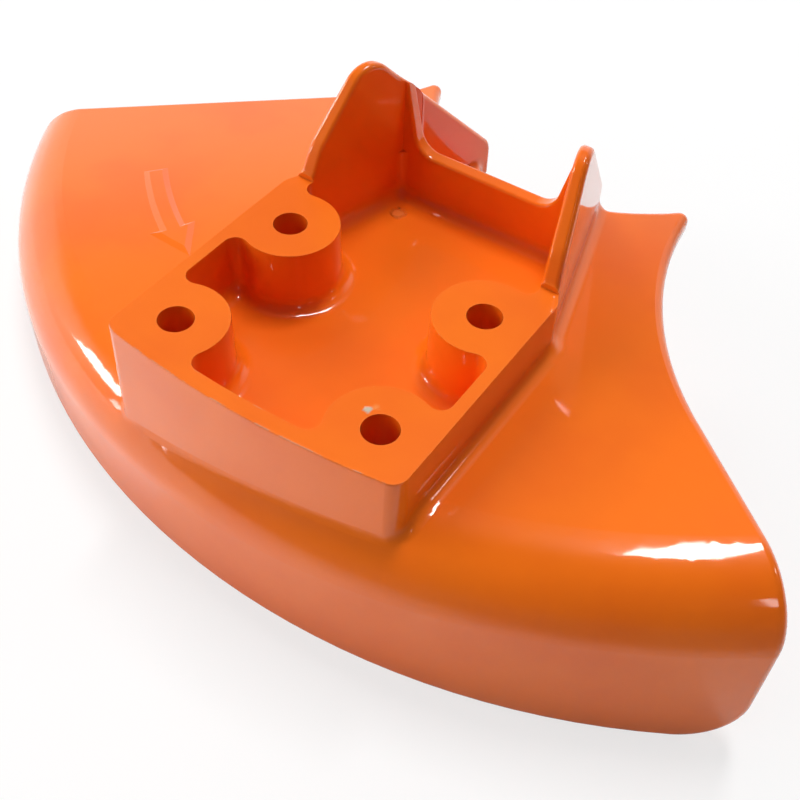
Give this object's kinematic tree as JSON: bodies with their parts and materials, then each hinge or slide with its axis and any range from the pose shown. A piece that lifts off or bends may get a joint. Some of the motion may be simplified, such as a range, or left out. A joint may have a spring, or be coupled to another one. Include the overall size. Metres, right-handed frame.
{
  "type": "saw blade guard",
  "caption": "Arched cast blade guard for a brush cutter: sector plate with a rolled skirt, and a bolt-on gearbox box with bosses, ears and a shaft saddle.",
  "frame": {"origin": "centre of the four-bolt pattern, on the plane of the boss tops", "axes": "+Z along the bolts, out of the boss tops towards the gearbox; +X along the long side of the bolt pattern, towards the high end of the tilted plate; +Y towards the blade spindle"},
  "size_m": [0.1781, 0.1107, 0.0561],
  "materials": {
    "paint": "gloss"
  },
  "bodies": {
    "root": {"guard": "paint"}
  },
  "joints": []
}
